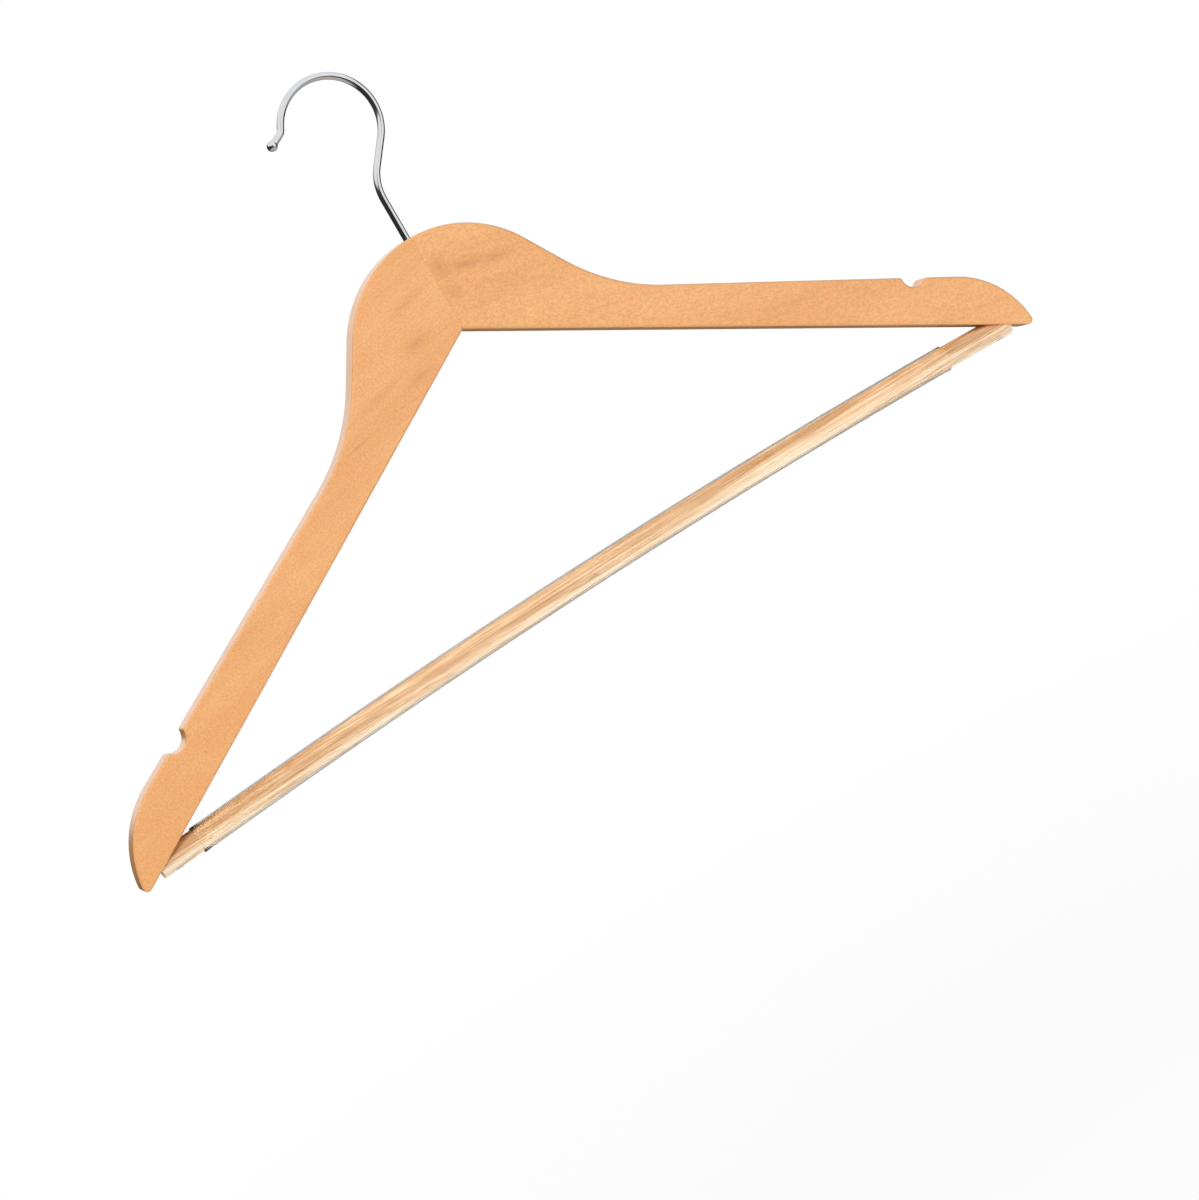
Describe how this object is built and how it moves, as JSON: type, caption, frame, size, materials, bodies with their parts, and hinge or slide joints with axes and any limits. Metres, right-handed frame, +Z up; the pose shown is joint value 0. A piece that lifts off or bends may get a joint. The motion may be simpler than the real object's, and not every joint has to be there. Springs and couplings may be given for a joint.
{
  "type": "clothes hanger",
  "caption": "Flat wooden suit hanger with domed apex, strap notches, round trouser bar in a clear grip sleeve and a wire hook that swivels.",
  "frame": {"origin": "hook seat: on the swivel axis, level with the inside top of the hook's arch, where the rail touches it", "axes": "+X along the hanger's width, +Y through the wood towards the back face, +Z up along the swivel axis"},
  "size_m": [0.445, 0.012, 0.2376],
  "materials": {
    "arm_wood": "clear satin lacquer",
    "chrome_wire": "bright plated",
    "bar_wood": "raw, coarse grained",
    "clear_vinyl": "clear, fine ribs along its length",
    "zinc_steel": "zinc plated",
    "dowel_wood": "raw"
  },
  "bodies": {
    "hook": {"swivel_hook": "chrome_wire"},
    "hanger": {"left_arm": "arm_wood", "right_arm": "arm_wood", "trouser_bar": "bar_wood", "grip_sleeve": "clear_vinyl", "bar_screw_left": "zinc_steel", "bar_screw_right": "zinc_steel", "joint_dowel": "dowel_wood"}
  },
  "joints": [
    {"name": "hook_swivel", "type": "hinge", "parent": "hook", "child": "hanger", "pos_m": [0, 0, -0.07], "axis": [0, 0, 1], "continuous": true}
  ]
}
